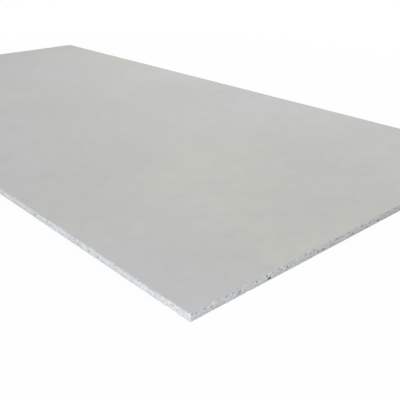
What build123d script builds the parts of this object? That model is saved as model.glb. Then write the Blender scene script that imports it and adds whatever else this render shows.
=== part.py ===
from build123d import *
import os

# A drywall sheet lying flat on its back: a gypsum core cast between two paper liners.
# One saw cut squares each side, so the liners end flush with the core and the core is bare on every edge.
# The sheet's length runs along Y and its width along X, with the face liner on top.
# The origin is under the middle of the sheet, on the outside of the back liner.

# Sheet sizes, in millimetres
sheet_length = 1800.0
sheet_width = 900.0
sheet_thickness = 12.5  # over both liners

# Liner sizes, in millimetres
face_liner_thickness = 0.35
back_liner_thickness = 0.35


def sawn_layer(underside, thickness):
    # Every layer is cut by the same saw, so each has the sheet's own outline.
    outline = Pos(0, 0, underside) * Rectangle(sheet_width, sheet_length)
    return extrude(outline, amount=thickness)


# The layers from the floor up: what the liners leave of the sheet's thickness is core.
layer_thicknesses = {
    "back_paper": back_liner_thickness,
    "gypsum_core": sheet_thickness - back_liner_thickness - face_liner_thickness,
    "face_paper": face_liner_thickness,
}

os.makedirs("parts", exist_ok=True)
underside = 0
for name, thickness in layer_thicknesses.items():
    export_step(sawn_layer(underside, thickness), f"parts/{name}.step")
    underside += thickness
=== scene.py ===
import math

import bmesh
import bpy
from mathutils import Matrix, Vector, noise


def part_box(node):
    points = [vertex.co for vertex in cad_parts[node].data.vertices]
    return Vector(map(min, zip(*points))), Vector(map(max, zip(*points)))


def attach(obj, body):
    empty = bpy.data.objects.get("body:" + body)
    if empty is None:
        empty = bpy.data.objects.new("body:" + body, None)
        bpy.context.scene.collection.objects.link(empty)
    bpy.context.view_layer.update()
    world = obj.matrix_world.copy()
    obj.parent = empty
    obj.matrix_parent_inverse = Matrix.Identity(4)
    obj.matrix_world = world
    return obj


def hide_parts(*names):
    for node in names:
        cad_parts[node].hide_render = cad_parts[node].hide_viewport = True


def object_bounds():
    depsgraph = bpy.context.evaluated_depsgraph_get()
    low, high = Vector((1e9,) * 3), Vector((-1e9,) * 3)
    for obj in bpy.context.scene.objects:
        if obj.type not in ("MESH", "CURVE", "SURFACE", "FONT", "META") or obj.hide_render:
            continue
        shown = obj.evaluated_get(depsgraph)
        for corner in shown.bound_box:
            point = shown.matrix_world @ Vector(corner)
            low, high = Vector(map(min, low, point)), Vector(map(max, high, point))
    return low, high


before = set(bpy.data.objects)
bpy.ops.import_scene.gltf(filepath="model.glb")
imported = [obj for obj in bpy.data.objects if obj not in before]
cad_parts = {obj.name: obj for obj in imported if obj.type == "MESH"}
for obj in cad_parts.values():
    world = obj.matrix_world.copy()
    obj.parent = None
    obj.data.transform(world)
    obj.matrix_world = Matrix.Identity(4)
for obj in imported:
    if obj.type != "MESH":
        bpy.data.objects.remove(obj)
cadLow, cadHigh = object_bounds()
print("frame loaded:", sorted(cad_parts))

mm = 0.001
touching = 1e-5  # m within which a point counts as on a face or a sawn side
merging = 1e-6  # m within which two points count as one
halfWidth, halfLength = cadHigh.x, cadHigh.y
coreLow, coreHigh = (corner.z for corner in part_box("gypsum_core"))
scene = bpy.context.scene
scene.view_settings.view_transform = "Standard"


def linear(hexColour):
    # sRGB hex to the linear numbers that shaders work in
    levels = [int(hexColour[i:i + 2], 16) / 255 for i in (1, 3, 5)]
    return [c / 12.92 if c <= 0.04045 else ((c + 0.055) / 1.055) ** 2.4 for c in levels] + [1.0]


def addNode(tree, kind, settings=None, inputs=None):
    # one node with its settings, its plain inputs and its links from other nodes' outputs
    new = tree.nodes.new("ShaderNode" + kind)
    for name, value in (settings or {}).items():
        setattr(new, name, value)
    for name, value in (inputs or {}).items():
        if isinstance(value, bpy.types.NodeSocket):
            tree.links.new(value, new.inputs[name])
        else:
            new.inputs[name].default_value = value
    return new


def startMaterial(name):
    material = bpy.data.materials.new(name)
    material.use_nodes = True
    tree = material.node_tree
    tree.nodes.clear()
    return material, tree


# Camera, from the photograph's two vanishing points: lens, tilt and heading,
# then where it stands from the near corner

cameraValues = {
    "lens": 54.2,  # mm
    "sensor": 36.0,  # mm wide
    "nearest": 10.0,  # mm off at which it starts to see
    "tilt": 24.43,  # degrees down
    "heading": 42.03,  # degrees from the sheet's length towards its width
    "aboveFace": 454.7,  # mm
    "behindCorner": 645.0,  # mm back from the near corner
    "asideCorner": 12.5,  # mm to its right
}


def placeCamera():
    c = cameraValues
    heading = math.radians(c["heading"])
    forward = Vector((math.sin(heading), math.cos(heading), 0))
    right = Vector((math.cos(heading), -math.sin(heading), 0))
    corner = Vector((-halfWidth, -halfLength, cadHigh.z))
    data = bpy.data.cameras.new("photo_camera")
    data.lens = c["lens"]
    data.sensor_width = c["sensor"]
    data.clip_start = c["nearest"] * mm
    camera = bpy.data.objects.new("photo_camera", data)
    scene.collection.objects.link(camera)
    camera.location = corner - forward * c["behindCorner"] * mm + right * c["asideCorner"] * mm
    camera.location.z += c["aboveFace"] * mm
    camera.rotation_euler = (math.radians(90 - c["tilt"]), 0, -heading)
    scene.camera = camera


placeCamera()
print("camera placed")


# Sawn blank: half a layer grows from a coarse grid, and each ring round it splits finer towards the edge.
# Then the wall rises, and a mirror closes it.

blankValues = {
    "cells": (9, 18),  # coarse squares across the width and the length
    "rings": ((45, 4), (12, 5), (4, 5)),  # mm wide, and how many parts the shortest outer edge splits into
}


def sawnBlank(low, high, rings, wallSteps):
    # wallSteps are shares of half the layer's thickness, from its lower face up
    ringTotal = sum(width for width, parts in rings) * mm
    reach = Vector((halfWidth - ringTotal, halfLength - ringTotal))
    bm = bmesh.new()
    across, along = blankValues["cells"]
    bmesh.ops.create_grid(bm, x_segments=across, y_segments=along, size=1)
    bmesh.ops.scale(bm, vec=(reach.x, reach.y, 1), verts=bm.verts)
    bmesh.ops.translate(bm, vec=(0, 0, low), verts=bm.verts)
    for width, parts in rings:
        rim = [e for e in bm.edges if e.is_boundary]
        grown = bmesh.ops.extrude_edge_only(bm, edges=rim)["geom"]
        outer = [g for g in grown if isinstance(g, bmesh.types.BMVert)]
        for outward in (Vector((1, 0, 0)), Vector((-1, 0, 0)), Vector((0, 1, 0)), Vector((0, -1, 0))):
            edgeAt = abs(outward.x) * reach.x + abs(outward.y) * reach.y
            moved = [v for v in outer if v.co.dot(outward) > edgeAt - merging]
            bmesh.ops.translate(bm, vec=outward * width * mm, verts=moved)
        reach += Vector((width, width)) * mm
        rim = [g for g in grown if isinstance(g, bmesh.types.BMEdge) and g.is_boundary]
        step = min(e.calc_length() for e in rim) / parts
        shares = {e: round(e.calc_length() / step) for e in rim}
        for share in sorted(set(shares.values()) - {1}):  # the outer edges at the corners are longer
            bmesh.ops.subdivide_edges(bm, edges=[e for e in rim if shares[e] == share], cuts=share - 1)
    for share in wallSteps:
        rim = [e for e in bm.edges if e.is_boundary]
        grown = bmesh.ops.extrude_edge_only(bm, edges=rim)["geom"]
        raised = [g for g in grown if isinstance(g, bmesh.types.BMVert)]
        bmesh.ops.translate(bm, vec=(0, 0, share * (high - low) / 2), verts=raised)
    middle = (low + high) / 2
    bmesh.ops.translate(bm, vec=(0, 0, -middle), verts=bm.verts)
    half = bm.verts[:] + bm.edges[:] + bm.faces[:]
    bmesh.ops.mirror(bm, geom=half, merge_dist=merging, axis="Z")
    bmesh.ops.translate(bm, vec=(0, 0, middle), verts=bm.verts)
    bmesh.ops.recalc_face_normals(bm, faces=bm.faces)
    return bm


def onEdge(co, within=0):
    # which of the four sawn sides a point is on, or within so many mm of, as signs along x and y
    margin = within * mm + touching
    x = math.copysign(1, co.x) if abs(co.x) > halfWidth - margin else 0
    y = math.copysign(1, co.y) if abs(co.y) > halfLength - margin else 0
    return x, y


def smoothStep(value, start, end):
    t = min(max((value - start) / (end - start), 0), 1)
    return t * t * (3 - 2 * t)


# How the edges broke when they were sawn: pits in the core, crumbled arrises, blunt corners,
# and a torn lip of the face liner that hangs over the long edges

breakValues = {
    "pitSpacing": (9.0, 3.2),  # mm along the edge and up it
    "pitDraw": 37.7,  # spreads the draw of which places hold a pit
    "pitShareLong": (0.06, 0.05),  # of the places, on the long edges: low down and high up
    "pitShareEnd": (0.16, 0.28),  # and on the two ends
    "pitUpper": (0.35, 0.65),  # of the sheet's thickness, from low down to high up
    "pitSize": (0.35, 0.3),  # of its place: at the least, and more by the draw
    "pitFloor": 0.15,  # share of its size that is its deepest part
    "pitDepth": 1.7,  # mm at the deepest
    "pitShallow": 0.5,  # share of that depth at the shallowest
    "wholeUnderFace": (0.8, 2.4),  # mm under the face liner, from no scattered pits to all of them
    "namedHeight": (1.6, 0.5),  # mm, of a named pit: at the least, and more for each mm of its depth
    "namedRim": (0.35, 1.15),  # of its half size, from its deepest part to its rim
    "namedRagged": (1.5, 0.35),  # mm between the notches in that rim, and their share of its half size
    "crumbSpacing": 13.0,  # mm between crumbs lost from an arris
    "crumbFractal": (1.0, 2.0, 4),  # how fast the finer ones fade, how much finer each is, and how many
    "crumbNoise": (-0.15, 0.75),  # of the noise, from whole to the largest crumb
    "crumbApart": 40.0,  # times an arris's height, so that the two lose different crumbs
    "crumbReach": 2.6,  # mm that the largest crumb reached up or down the edge
    "crumbLeast": 0.25,  # share of that for the smallest
    "crumbDepthLong": (0.15, 0.9),  # mm into the sheet on the long edges, at the lower and the upper arris
    "crumbDepthEnd": (0.25, 2.6),  # and on the two ends
    "lumpSpacing": 5.0,  # mm
    "lumpDepth": 0.35,  # mm
    "lumpBias": 0.4,  # added to the noise, so that more of the edge is lumpy than flat
    "grainSpacing": 1.6,  # mm
    "grainDepth": 0.12,  # mm
    "cornerRound": 2.0,  # mm
    "cornerCalm": 5.0,  # mm from a corner over which pits and crumbs fade in
    "cornerGrain": 0.3,  # share of the lumps and grain that stays at a corner
    "lipThickness": 0.3,  # mm
    "lipRoom": 1.3,  # times its thickness that the core lies back behind its top
    "lipLength": 0.9,  # mm at the longest
    "lipSpacing": 40.0,  # mm
    "lipNoise": (-0.3, 0.4),  # of the noise, from no lip to the longest
    "lipRagged": (3.0, 0.25),  # mm between its tatters, and the share of its length that they are
}

# The largest pits in view: mm from the near corner, mm above the floor, mm long, mm deep
largestPits = {
    "long": ((26, 5.8, 5, 1.6), (39, 7, 6, 2), (86, 9.6, 5, 2), (114, 9.3, 5, 2), (144, 2.6, 6, 1.2),
             (218, 4.4, 7, 2.2), (243, 4.8, 7, 2.4), (266, 9, 5, 2), (273, 5, 6, 2.2), (285, 9, 5, 1.6),
             (329, 5, 5, 1.6), (358, 6.5, 12, 1), (415, 6, 12, 2)),
    "end": ((4, 10.5, 5, 2), (38, 6.5, 6, 1.4), (66, 10, 7, 1.2), (78, 10.3, 6, 1.6), (92, 7.2, 6, 2.4),
            (126, 9, 6, 1.6), (148, 9.2, 6, 1.8), (153, 3, 9, 4.6), (160, 9.6, 5, 1.6), (180, 6.5, 5, 1.4),
            (192, 8, 5, 1.2), (209, 5.5, 5, 1.2), (238, 10, 8, 1.4), (257, 10.2, 9, 1.6), (266, 4.4, 8, 2),
            (281, 3.8, 8, 1.8), (299, 4.4, 6, 1.4), (314, 9.6, 12, 1.8), (325, 10, 12, 1.6), (346, 10, 10, 1),
            (358, 4.6, 10, 1.4), (384, 9.8, 10, 1.4), (407, 7.5, 8, 1), (432, 4.4, 9, 2.6), (461, 9.5, 12, 1),
            (489, 9.5, 12, 1)),
}

longestLip = {
    "middle": 105.0,  # mm from the near corner
    "along": 180.0,  # mm of the edge
    "hanging": 1.8,  # mm at its middle
    "ends": (0.2, 1.1),  # of half its run, from there to where it ends
}


def scatteredPit(co, side):
    # depth in mm of the pit that holds a point, where its place of the scatter has one
    b = breakValues
    along, up = b["pitSpacing"]
    distances, points = noise.voronoi(Vector((co.x / along, co.y / along, co.z / up)) / mm)
    draw = noise.cell(points[0] * b["pitDraw"]) % 1
    low, high = b["pitShareLong"] if side[0] else b["pitShareEnd"]
    share = low + (high - low) * smoothStep(co.z / cadHigh.z, *b["pitUpper"])
    if draw >= share:
        return 0
    least, more = b["pitSize"]
    size = least + more * draw / share
    shallow = b["pitShallow"]
    deepest = b["pitDepth"] * (shallow + (1 - shallow) * draw / share)
    deepest *= smoothStep((coreHigh - co.z) / mm, *b["wholeUnderFace"])
    return deepest * (1 - smoothStep(distances[0], b["pitFloor"] * size, size))


def namedPit(co, side):
    # depth in mm of the largest pits, each a ragged oval
    if side[0] > 0 or side[1] > 0:
        return 0
    b = breakValues
    if side[0]:
        start, pits = co.y + halfLength, largestPits["long"]
    else:
        start, pits = co.x + halfWidth, largestPits["end"]
    spacing, share = b["namedRagged"]
    notch = co / (spacing * mm)
    elsewhere = Vector((0, 0, 50))  # far enough off to be unlike the first noise
    ragged = Vector((noise.noise(notch), noise.noise(notch + elsewhere))) * share
    least, more = b["namedHeight"]
    depth = 0
    for where, height, length, deep in pits:
        across = (start / mm - where) / (length / 2) + ragged.x
        tall = (co.z / mm - height) / ((least + more * deep) / 2) + ragged.y
        depth = max(depth, deep * (1 - smoothStep(math.hypot(across, tall), *b["namedRim"])))
    return depth


def crumbAt(co, side, arris, upper):
    # depth in mm lost at an arris, which slopes out to nothing up or down the edge
    b = breakValues
    deepest = (b["crumbDepthLong"] if side[0] else b["crumbDepthEnd"])[upper]
    place = Vector((co.x, co.y, arris * b["crumbApart"])) / (b["crumbSpacing"] * mm)
    lost = smoothStep(noise.fractal(place, *b["crumbFractal"]), *b["crumbNoise"])
    least = b["crumbLeast"]
    reach = b["crumbReach"] * (least + (1 - least) * lost)
    return deepest * lost * (1 - smoothStep(abs(co.z - arris) / mm, 0, reach))


def cornerAt(co, side):
    # mm that a rounded corner takes off the edge and draws it back, and how far the corner is
    if all(side):
        fromCorner = 0
    else:
        fromCorner = (halfLength - abs(co.y) if side[0] else halfWidth - abs(co.x)) / mm
    r = breakValues["cornerRound"]
    turn = math.radians(45) * max(0, 1 - fromCorner / r)  # each of its two sides turns half the way
    drawn = max(0, r * (1 - math.sin(turn)) - fromCorner)
    return r * (1 - math.cos(turn)), drawn, fromCorner


def lipAt(co, side):
    # mm that the face liner hangs down over a long edge
    b = breakValues
    if not side[0] or side[1]:
        return 0
    place = Vector((co.x, co.y, 0)) / mm
    length = b["lipLength"] * smoothStep(noise.noise(place / b["lipSpacing"]), *b["lipNoise"])
    if side[0] < 0:
        away = abs((co.y + halfLength) / mm - longestLip["middle"]) / (longestLip["along"] / 2)
        length = max(length, longestLip["hanging"] * (1 - smoothStep(away, *longestLip["ends"])))
    spacing, share = b["lipRagged"]
    calm = smoothStep((halfLength - abs(co.y)) / mm, 0, b["cornerCalm"])
    return length * (1 + share * noise.noise(place / spacing)) * calm


def coreLoss(co, side):
    # mm that the core lost at a point of a sawn side, and how many of them are a pit
    b = breakValues
    blunt, _, fromCorner = cornerAt(co, side)
    calm = smoothStep(fromCorner, 0, b["cornerCalm"])
    pit = max(scatteredPit(co, side), namedPit(co, side)) * calm
    crumb = max(crumbAt(co, side, coreLow, 0), crumbAt(co, side, coreHigh, 1)) * calm
    lumps = b["lumpDepth"] * max(0, b["lumpBias"] + noise.noise(co / (b["lumpSpacing"] * mm)))
    grain = b["grainDepth"] * abs(noise.noise(co / (b["grainSpacing"] * mm)))
    hanging = lipAt(co, side)
    below = max(0, coreHigh - co.z) / mm
    behind = b["lipThickness"] * (b["lipRoom"] - below / hanging) if hanging > 0 and below < hanging else 0
    broken = (lumps + grain) * max(calm, b["cornerGrain"]) + max(pit, crumb)
    return max(blunt, behind + grain, broken), pit


def moveIn(vert, side, depth):
    # depth is in mm, square to the side; near a corner the point is drawn back along it too
    drawn = cornerAt(vert.co, side)[1]
    vert.co.x -= (side[0] * depth if side[0] else math.copysign(drawn, vert.co.x)) * mm
    vert.co.y -= (side[1] * depth if side[1] else math.copysign(drawn, vert.co.y)) * mm


def finishPiece(bm, name, material, node, sharpAngle):
    manySided = [f for f in bm.faces if len(f.verts) > 4]
    bmesh.ops.triangulate(bm, faces=manySided, ngon_method="EAR_CLIP")
    mesh = bpy.data.meshes.new(name)
    bm.to_mesh(mesh)
    bm.free()
    mesh.materials.append(material)
    mesh.shade_smooth()
    mesh.set_sharp_from_angle(angle=math.radians(sharpAngle))
    piece = bpy.data.objects.new(name, mesh)
    scene.collection.objects.link(piece)
    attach(piece, "root")
    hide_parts(node)
    print(name, "made,", sum(len(p.vertices) - 2 for p in mesh.polygons), "triangles")


# Cast gypsum, foamed and sawn: chalk white with a cold cast, cloudy with its own dust, with painted shade in
# its pits and air holes and low down by the floor

gypsumValues = {
    "clean": "#e9ecef",
    "dustAndFloorShade": "#d0d1d6",
    # painted shade: the colour in the pits and air holes at their darkest
    "pit": "#75767f",
    "cloud": 5.5,  # mm
    "drift": 45.0,  # mm between cleaner and dustier stretches
    "driftShare": 0.3,
    "dustNoise": (0.38, 0.64),  # of the noise, from clean to dusty
    "bubble": 1.8,  # mm apart, the gypsum's air holes as dots of painted shade; the real ones are near 0.5 mm, drawn coarser so that they show
    "bubbleSize": (0.08, 0.42),  # of that, from the smallest to the largest
    "bubbleFloor": 0.05,  # of that, the darkest middle of each one's painted shade
    "bubbleShare": 0.34,  # of a pit's painted shade, at the darkest
    "grain": 0.9,  # mm
    "relief": (0.5, 0.3),  # strength of the bump, and mm
    "stroke": (0.9, 9.0),  # mm wide and long, of the saw's marks
    "strokeLean": 24.0,  # degrees off upright
    "strokeShare": 0.16,
    "floorShade": (1.0, 6.0),  # mm above the floor, from the darkest painted shade to none
    "floorShadeShare": 0.12,
    "roughness": (0.86, 0.97),
}


def gypsumMaterial():
    g = gypsumValues
    material, tree = startMaterial("gypsum_cast_sawn")
    place = addNode(tree, "TexCoord").outputs["Object"]
    cloud = addNode(tree, "TexNoise", inputs={
        "Vector": place, "Scale": 1 / (g["cloud"] * mm), "Detail": 3, "Roughness": 0.6})
    drift = addNode(tree, "TexNoise", inputs={"Vector": place, "Scale": 1 / (g["drift"] * mm), "Detail": 2})
    mixed = addNode(tree, "Mix", {"data_type": "FLOAT"}, {
        0: g["driftShare"], 2: cloud.outputs["Fac"], 3: drift.outputs["Fac"]})
    height = addNode(tree, "SeparateXYZ", inputs={"Vector": place})
    along = addNode(tree, "Math", {"operation": "ADD"}, {0: height.outputs["X"], 1: height.outputs["Y"]})
    wall = addNode(tree, "CombineXYZ", inputs={"X": along.outputs["Value"], "Y": height.outputs["Z"]})
    leant = addNode(tree, "Mapping", inputs={
        "Vector": wall.outputs["Vector"], "Rotation": (0, 0, math.radians(g["strokeLean"]))})
    wide, long = g["stroke"]
    pulled = addNode(tree, "Mapping", inputs={
        "Vector": leant.outputs["Vector"], "Scale": (1 / (wide * mm), 1 / (long * mm), 1)})
    strokes = addNode(tree, "TexNoise", inputs={"Vector": pulled.outputs["Vector"], "Scale": 1, "Detail": 2})
    sawn = addNode(tree, "Mix", {"data_type": "FLOAT"}, {
        0: g["strokeShare"], 2: mixed.outputs[0], 3: strokes.outputs["Fac"]})
    dust = addNode(tree, "MapRange", inputs={
        "Value": sawn.outputs[0], "From Min": g["dustNoise"][0], "From Max": g["dustNoise"][1]})
    # painted shade low down on the sawn side, darkest by the floor, mixed in with the dust
    floorShade = addNode(tree, "MapRange", inputs={
        "Value": height.outputs["Z"], "From Min": g["floorShade"][0] * mm, "From Max": g["floorShade"][1] * mm,
        "To Min": g["floorShadeShare"], "To Max": 0})
    dustAndFloorShade = addNode(tree, "Math", {"operation": "ADD", "use_clamp": True}, {
        0: dust.outputs["Result"], 1: floorShade.outputs["Result"]})
    body = addNode(tree, "Mix", {"data_type": "RGBA"}, {
        0: dustAndFloorShade.outputs["Value"], 6: linear(g["clean"]), 7: linear(g["dustAndFloorShade"])})
    bubbles = addNode(tree, "TexVoronoi", inputs={"Vector": place, "Scale": 1 / (g["bubble"] * mm)})
    draw = addNode(tree, "SeparateColor", inputs={"Color": bubbles.outputs["Color"]})
    size = addNode(tree, "MapRange", inputs={
        "Value": draw.outputs["Red"], "To Min": g["bubbleSize"][0], "To Max": g["bubbleSize"][1]})
    shown = addNode(tree, "MapRange", inputs={
        "Value": draw.outputs["Green"], "To Min": 0, "To Max": g["bubbleShare"]})
    bubbleShade = addNode(tree, "MapRange", inputs={
        "Value": bubbles.outputs["Distance"],
        "From Min": g["bubbleFloor"], "From Max": size.outputs["Result"],
        "To Min": shown.outputs["Result"], "To Max": 0})
    # painted shade in the pits, the deeper the darker, and in the air holes
    pits = addNode(tree, "Attribute", {"attribute_name": "pit"})
    dark = addNode(tree, "Math", {"operation": "MAXIMUM"}, {
        0: bubbleShade.outputs["Result"], 1: pits.outputs["Fac"]})
    colour = addNode(tree, "Mix", {"data_type": "RGBA"}, {
        0: dark.outputs["Value"], 6: body.outputs[2], 7: linear(g["pit"])})
    rough = addNode(tree, "MapRange", inputs={
        "Value": cloud.outputs["Fac"], "To Min": g["roughness"][0], "To Max": g["roughness"][1]})
    grain = addNode(tree, "TexNoise", inputs={"Vector": place, "Scale": 1 / (g["grain"] * mm), "Detail": 3})
    relief = addNode(tree, "Math", {"operation": "ADD"}, {
        0: grain.outputs["Fac"], 1: strokes.outputs["Fac"]})
    bump = addNode(tree, "Bump", inputs={
        "Height": relief.outputs["Value"], "Strength": g["relief"][0], "Distance": g["relief"][1] * mm})
    shader = addNode(tree, "BsdfPrincipled", inputs={
        "Base Color": colour.outputs[2], "Roughness": rough.outputs["Result"], "IOR": 1.52,
        "Specular IOR Level": 0.3, "Normal": bump.outputs["Normal"]})
    addNode(tree, "OutputMaterial", inputs={"Surface": shader.outputs["BSDF"]})
    return material


coreValues = {
    "wallSteps": (0.09, 0.12, 0.15, 0.19, 0.22, 0.23),  # rows of the wall's net, closer by the arrises
    "fullPit": 2.4,  # mm deep at which a pit's painted shade is as dark as it gets
    "pitCuts": 2,  # more cuts in the wall's net where the largest pits are
    "shake": (2.0, 0.45),  # mm between the shakes that take the net off its straight lines, and mm of each
    "shakeSeed": 5,  # the shakes are the same at each run
    "sharpAngle": 50.0,  # degrees
}


def cutPitsFiner(bm):
    pitted = set()
    for vert in bm.verts:
        side = onEdge(vert.co)
        if any(side) and namedPit(vert.co, side) > 0:
            pitted.add(vert)
    edges = []
    for edge in bm.edges:
        middle = (edge.verts[0].co + edge.verts[1].co) / 2
        inWall = coreLow + touching < middle.z < coreHigh - touching
        if inWall and (edge.verts[0] in pitted or edge.verts[1] in pitted):
            edges.append(edge)
    bmesh.ops.subdivide_edges(bm, edges=edges, cuts=coreValues["pitCuts"], use_grid_fill=True)


def shakeWall(bm):
    # a net of straight rows would give the pits stepped rims
    spacing, much = coreValues["shake"]
    noise.seed_set(coreValues["shakeSeed"])
    for vert in bm.verts:
        side = onEdge(vert.co)
        inWall = coreLow + touching < vert.co.z < coreHigh - touching
        if inWall and any(side) and not all(side):
            fromArris = min(vert.co.z - coreLow, coreHigh - vert.co.z) / mm
            calm = smoothStep(min(cornerAt(vert.co, side)[2], fromArris), 0, spacing)
            shift = noise.noise_vector(vert.co / (spacing * mm)) * much * calm * mm
            vert.co += Vector((shift.x * abs(side[1]), shift.y * abs(side[0]), shift.z))


def makeCore():
    bm = sawnBlank(coreLow, coreHigh, blankValues["rings"], coreValues["wallSteps"])
    cutPitsFiner(bm)
    shakeWall(bm)
    pitShadeLayer = bm.verts.layers.float.new("pit")
    for vert in bm.verts:
        side = onEdge(vert.co)
        if any(side):
            loss, pit = coreLoss(vert.co.copy(), side)
            # the pit's depth, as a share, sets how dark its painted shade is
            vert[pitShadeLayer] = min(pit / coreValues["fullPit"], 1)
            moveIn(vert, side, loss)
    finishPiece(bm, "gypsum_core_sawn", gypsumMaterial(), "gypsum_core", coreValues["sharpAngle"])


# Recycled liner board, calendered: matt grey with broad tints, faint clots of fibre, fine fibres and flecks

faceValues = {
    "name": "liner_board_grey_calendered",
    "plain": "#c3c3c3",
    "tinted": "#c6c7c1",
    "shade": "#b6b6b2",
    "fleck": "#a6a7a3",
    "fibre": "#cfcfcc",
    "tint": 610.0,  # mm across a broad tint
    "tintShift": (4800.0, 6380.0, -780.0),  # mm, for plain patches at the near corner and the long edge
    "tintRange": (0.38, 0.57),  # of the noise, from plain to tinted
    "drift": 300.0,  # mm across a broad stretch of painted light and shade
    "driftShift": (7900.0, 6110.0, 920.0),  # mm, for a middle painted lighter
    "driftRange": (0.35, 0.63),  # of the noise, from light to shaded
    "driftShare": 0.2,
    "cloud": 26.0,  # mm across a clot of fibres
    "cloudShare": 0.22,
    "streak": (5.0, 90.0),  # mm wide and long
    "streakShare": 0.15,
    "fleckSpacing": 8.0,  # mm
    "fleckShare": 0.34,
    "fibreSize": (1.2, 7.0),  # mm wide and long; real ones are near 0.03 mm wide, drawn coarser to show
    "dust": "#dfe1e3",
    "dustReach": 5.0,  # mm in from the cut
    "dustPatch": 9.0,  # mm
    "dustShare": 0.22,
    "tooth": 1.1,  # mm
    "roughness": (0.8, 0.92),
}

# The same board left brown and uncoated: warmer, cloudier and rougher, with more dust by the cuts

backValues = {
    "name": "liner_board_brown_uncoated",
    "plain": "#b8b3a9",
    "tinted": "#b5b0a3",
    "shade": "#a49f94",
    "fleck": "#8a857b",
    "fibre": "#c8c3b9",
    "tint": 260.0,
    "tintShift": (0.0, 0.0, 0.0),
    "tintRange": (0.4, 0.6),
    "drift": 300.0,
    "driftShift": (0.0, 0.0, 0.0),
    "driftRange": (0.35, 0.63),
    "driftShare": 0.2,
    "cloud": 20.0,
    "cloudShare": 0.4,
    "streak": (5.0, 90.0),
    "streakShare": 0.35,
    "fleckSpacing": 9.0,
    "fleckShare": 0.4,
    "fibreSize": (1.2, 7.0),
    "dust": "#d6d5d2",
    "dustReach": 7.0,
    "dustPatch": 12.0,
    "dustShare": 0.5,
    "tooth": 1.3,
    "roughness": (0.86, 0.96),
}


# What both liners share: how they tore, and how their board is drawn

linerValues = {
    "wallSteps": (1.0,),  # one row up to the middle
    "fuzzSpacing": 2.2,  # mm
    "fuzzDepth": 0.3,  # mm
    "tearShare": 0.9,  # of what the core's arris lost under it
    "heldOut": 0.6,  # mm of lip from which the liner bridges a crumbled arris
    "sharpAngle": 40.0,  # degrees
    "clotNoise": (0.4, 0.68),  # of the noise, from clear to clotted
    "fleckWarp": 0.004,  # pulls the flecks out of round
    "fleckSize": (0.06, 0.2),  # of their spacing, from a dark middle to nothing
    "fibreTurns": (25, 85, 145),  # degrees
    "fibreNoise": (0.62, 0.78),  # of the noise, from bare board to fibre
    "fibreShare": 0.35,
    "dustNoise": (0.42, 0.62),  # of the noise, from clean to dusty
    "roughNoise": (0.3, 0.7),  # of the noise, from smoother to rougher
    "relief": (0.15, 0.1),  # strength of the bump, and mm
}


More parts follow.
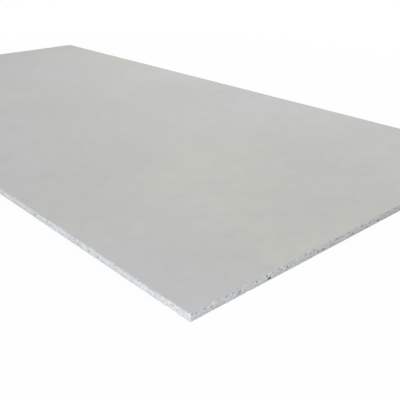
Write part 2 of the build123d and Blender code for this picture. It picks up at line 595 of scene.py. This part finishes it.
def linerMaterial(v):
    shared = linerValues
    material, tree = startMaterial(v["name"])
    place = addNode(tree, "TexCoord").outputs["Object"]
    shifted = addNode(tree, "Mapping", inputs={"Vector": place, "Location": Vector(v["tintShift"]) * mm})
    tint = addNode(tree, "TexNoise", inputs={
        "Vector": shifted.outputs["Vector"], "Scale": 1 / (v["tint"] * mm), "Detail": 1})
    tinted = addNode(tree, "MapRange", inputs={
        "Value": tint.outputs["Fac"], "From Min": v["tintRange"][0], "From Max": v["tintRange"][1]})
    body = addNode(tree, "Mix", {"data_type": "RGBA"}, {
        0: tinted.outputs["Result"], 6: linear(v["plain"]), 7: linear(v["tinted"])})
    cloud = addNode(tree, "TexNoise", inputs={
        "Vector": place, "Scale": 1 / (v["cloud"] * mm), "Detail": 4, "Roughness": 0.55})
    wide, long = v["streak"]
    pulled = addNode(tree, "Mapping", inputs={
        "Vector": place, "Scale": (1 / (wide * mm), 1 / (long * mm), 1)})
    streak = addNode(tree, "TexNoise", inputs={"Vector": pulled.outputs["Vector"], "Scale": 1, "Detail": 2})
    formed = addNode(tree, "Mix", {"data_type": "FLOAT"}, {
        0: v["streakShare"], 2: cloud.outputs["Fac"], 3: streak.outputs["Fac"]})
    shade = addNode(tree, "MapRange", inputs={
        "Value": formed.outputs[0],
        "From Min": shared["clotNoise"][0], "From Max": shared["clotNoise"][1],
        "To Min": 0, "To Max": v["cloudShare"]})
    # broad lighter and darker stretches: on the face, painted light and shade placed for a lighter middle; on
    # the back, random tone
    moved = addNode(tree, "Mapping", inputs={"Vector": place, "Location": Vector(v["driftShift"]) * mm})
    drift = addNode(tree, "TexNoise", inputs={
        "Vector": moved.outputs["Vector"], "Scale": 1 / (v["drift"] * mm), "Detail": 1})
    drifted = addNode(tree, "MapRange", inputs={
        "Value": drift.outputs["Fac"],
        "From Min": v["driftRange"][0], "From Max": v["driftRange"][1],
        "To Min": 0, "To Max": v["driftShare"]})
    shades = addNode(tree, "Math", {"operation": "ADD"}, {
        0: shade.outputs["Result"], 1: drifted.outputs["Result"]})
    shaded = addNode(tree, "Mix", {"data_type": "RGBA"}, {
        0: shades.outputs["Value"], 6: body.outputs[2], 7: linear(v["shade"])})
    warp = addNode(tree, "TexNoise", inputs={
        "Vector": place, "Scale": 2 / (v["fleckSpacing"] * mm), "Detail": 1})
    shaken = addNode(tree, "Mix", {"data_type": "VECTOR"}, {
        0: shared["fleckWarp"], 4: place, 5: warp.outputs["Color"]})
    specks = addNode(tree, "TexVoronoi", inputs={
        "Vector": shaken.outputs[1], "Scale": 1 / (v["fleckSpacing"] * mm)})
    faint = addNode(tree, "SeparateColor", inputs={"Color": specks.outputs["Color"]})
    strength = addNode(tree, "MapRange", inputs={
        "Value": faint.outputs["Red"], "To Min": 0, "To Max": v["fleckShare"]})
    fleck = addNode(tree, "MapRange", inputs={
        "Value": specks.outputs["Distance"],
        "From Min": shared["fleckSize"][0], "From Max": shared["fleckSize"][1],
        "To Min": strength.outputs["Result"], "To Max": 0})
    flecked = addNode(tree, "Mix", {"data_type": "RGBA"}, {
        0: fleck.outputs["Result"], 6: shaded.outputs[2], 7: linear(v["fleck"])})
    thin, run = v["fibreSize"]
    strands = None
    for turn in shared["fibreTurns"]:
        laid = addNode(tree, "Mapping", inputs={"Vector": place, "Rotation": (0, 0, math.radians(turn))})
        drawnOut = addNode(tree, "Mapping", inputs={
            "Vector": laid.outputs["Vector"], "Scale": (1 / (thin * mm), 1 / (run * mm), 1)})
        strand = addNode(tree, "TexNoise", inputs={
            "Vector": drawnOut.outputs["Vector"], "Scale": 1, "Detail": 1})
        strands = strand.outputs["Fac"] if strands is None else addNode(
            tree, "Math", {"operation": "MAXIMUM"}, {0: strands, 1: strand.outputs["Fac"]}).outputs["Value"]
    fibres = addNode(tree, "MapRange", inputs={
        "Value": strands,
        "From Min": shared["fibreNoise"][0], "From Max": shared["fibreNoise"][1],
        "To Min": 0, "To Max": shared["fibreShare"]})
    fibred = addNode(tree, "Mix", {"data_type": "RGBA"}, {
        0: fibres.outputs["Result"], 6: flecked.outputs[2], 7: linear(v["fibre"])})
    mirrored = addNode(tree, "VectorMath", {"operation": "ABSOLUTE"}, {0: place})
    inwards = addNode(tree, "VectorMath", {"operation": "SUBTRACT"}, {
        0: (halfWidth, halfLength, 1), 1: mirrored.outputs["Vector"]})
    fromCut = addNode(tree, "SeparateXYZ", inputs={"Vector": inwards.outputs["Vector"]})
    nearest = addNode(tree, "Math", {"operation": "MINIMUM"}, {
        0: fromCut.outputs["X"], 1: fromCut.outputs["Y"]})
    strewn = addNode(tree, "MapRange", {"interpolation_type": "SMOOTHSTEP"}, {
        "Value": nearest.outputs["Value"], "From Min": 0, "From Max": v["dustReach"] * mm,
        "To Min": v["dustShare"], "To Max": 0})
    patch = addNode(tree, "TexNoise", inputs={
        "Vector": place, "Scale": 1 / (v["dustPatch"] * mm), "Detail": 3, "Roughness": 0.7})
    patchy = addNode(tree, "MapRange", inputs={
        "Value": patch.outputs["Fac"],
        "From Min": shared["dustNoise"][0], "From Max": shared["dustNoise"][1]})
    dusted = addNode(tree, "Math", {"operation": "MULTIPLY"}, {
        0: strewn.outputs["Result"], 1: patchy.outputs["Result"]})
    colour = addNode(tree, "Mix", {"data_type": "RGBA"}, {
        0: dusted.outputs["Value"], 6: fibred.outputs[2], 7: linear(v["dust"])})
    rough = addNode(tree, "MapRange", inputs={
        "Value": formed.outputs[0],
        "From Min": shared["roughNoise"][0], "From Max": shared["roughNoise"][1],
        "To Min": v["roughness"][0], "To Max": v["roughness"][1]})
    tooth = addNode(tree, "TexNoise", inputs={"Vector": place, "Scale": 1 / (v["tooth"] * mm), "Detail": 2})
    bump = addNode(tree, "Bump", inputs={
        "Height": tooth.outputs["Fac"],
        "Strength": shared["relief"][0], "Distance": shared["relief"][1] * mm})
    shader = addNode(tree, "BsdfPrincipled", inputs={
        "Base Color": colour.outputs[2], "Roughness": rough.outputs["Result"], "IOR": 1.5,
        "Specular IOR Level": 0.35, "Normal": bump.outputs["Normal"]})
    addNode(tree, "OutputMaterial", inputs={"Surface": shader.outputs["BSDF"]})
    return material


def makeLiner(node, values, name, arris):
    # the liner tore back with the core under it, so it ends where the core's arris does,
    # with a fuzz of its own
    low, high = (corner.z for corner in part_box(node))
    shared = linerValues
    rim = breakValues["lipThickness"]
    bm = sawnBlank(low, high, blankValues["rings"] + ((rim, 1),), shared["wallSteps"])
    for vert in bm.verts:
        side = onEdge(vert.co, rim)
        if any(side):
            outermost = any(onEdge(vert.co))
            under = Vector((side[0] * halfWidth or vert.co.x, side[1] * halfLength or vert.co.y, arris))
            hanging = lipAt(under, side) if arris == coreHigh else 0
            fuzz = shared["fuzzDepth"] * (0.5 + 0.5 * noise.noise(under / (shared["fuzzSpacing"] * mm)))
            torn = coreLoss(under, side)[0] * shared["tearShare"]
            torn *= 1 - smoothStep(hanging, 0, shared["heldOut"])
            if outermost and vert.co.z < low + touching:
                vert.co.z -= hanging * mm
            moveIn(vert, side, max(cornerAt(under, side)[0], torn + fuzz))
    finishPiece(bm, name, linerMaterial(values), node, shared["sharpAngle"])


makeCore()
makeLiner("face_paper", faceValues, "face_liner_sawn", coreHigh)
makeLiner("back_paper", backValues, "back_liner_sawn", coreLow)


# Studio: a floor of matt white paint that shows no gloss, even light all round, and three soft lamps

studioValues = {
    "floorSize": 40.0,  # m
    "floorGap": 0.3,  # mm under the sheet
    "floorColour": "#e7e7e7",
    "floorGlow": 0.95,  # share of the floor by the sheet that is seen as plain white, so shadows stay faint
    "whiteFrom": (0.9, 1.5),  # m from the sheet's middle, over which that share rises to all of it
    "skyLevel": 0.263,
    # where each lamp hangs and what it points at (m), its colour, how wide it is (m) and its power (W)
    "lamps": {
        "overhead": ((1.2, 0.15, 2.4), (0.3, 0.1, 0), "#ffffff", 2.4, 58.7),
        "left_key": ((-2.2, -1.1, 0.7), (-0.45, -0.7, 0), "#fafeff", 1.2, 18.9),
        "front_fill": ((-0.8, -1.45, 0.35), (-0.38, -0.88, 0), "#ffffff", 0.4, 1.48),
    },
}


def seenDirectly(tree):
    # 1 for what the camera sees, straight or in a reflection
    path = addNode(tree, "LightPath")
    mirrored = addNode(tree, "Math", {"operation": "MAXIMUM"}, {
        0: path.outputs["Is Glossy Ray"], 1: path.outputs["Is Transmission Ray"]})
    return addNode(tree, "Math", {"operation": "MAXIMUM"}, {
        0: path.outputs["Is Camera Ray"], 1: mirrored.outputs["Value"]}).outputs["Value"]


def makeFloor():
    s = studioValues
    bm = bmesh.new()
    bmesh.ops.create_grid(bm, x_segments=1, y_segments=1, size=s["floorSize"] / 2)
    bmesh.ops.translate(bm, vec=(0, 0, cadLow.z - s["floorGap"] * mm), verts=bm.verts)
    mesh = bpy.data.meshes.new("studio_floor")
    bm.to_mesh(mesh)
    bm.free()
    floor = bpy.data.objects.new("studio_floor", mesh)
    scene.collection.objects.link(floor)
    material, tree = startMaterial("paint_white_matt")
    matt = addNode(tree, "BsdfDiffuse", inputs={"Color": linear(s["floorColour"])})
    glow = addNode(tree, "Emission", inputs={"Color": (1, 1, 1, 1), "Strength": 1})
    place = addNode(tree, "TexCoord").outputs["Object"]
    away = addNode(tree, "VectorMath", {"operation": "LENGTH"}, {0: place})
    white = addNode(tree, "MapRange", inputs={
        "Value": away.outputs["Value"], "From Min": s["whiteFrom"][0], "From Max": s["whiteFrom"][1],
        "To Min": s["floorGlow"], "To Max": 1})
    share = addNode(tree, "Math", {"operation": "MULTIPLY"}, {
        0: seenDirectly(tree), 1: white.outputs["Result"]})
    both = addNode(tree, "MixShader", inputs={
        0: share.outputs["Value"], 1: matt.outputs["BSDF"], 2: glow.outputs["Emission"]})
    addNode(tree, "OutputMaterial", inputs={"Surface": both.outputs["Shader"]})
    mesh.materials.append(material)


def lightStudio():
    s = studioValues
    scene.world = bpy.data.worlds.new("studio_white")
    scene.world.use_nodes = True
    tree = scene.world.node_tree
    tree.nodes.clear()
    level = addNode(tree, "Mix", {"data_type": "FLOAT"}, {0: seenDirectly(tree), 2: s["skyLevel"], 3: 1.0})
    sky = addNode(tree, "Background", inputs={"Color": (1, 1, 1, 1), "Strength": level.outputs[0]})
    addNode(tree, "OutputWorld", inputs={"Surface": sky.outputs["Background"]})
    for name, (place, target, colour, width, power) in s["lamps"].items():
        data = bpy.data.lights.new(name, "AREA")
        data.color = linear(colour)[:3]
        data.size = width
        data.energy = power
        lamp = bpy.data.objects.new(name, data)
        scene.collection.objects.link(lamp)
        lamp.location = place
        lamp.rotation_euler = (Vector(place) - Vector(target)).to_track_quat("Z", "Y").to_euler()


makeFloor()
lightStudio()
print("studio lit")
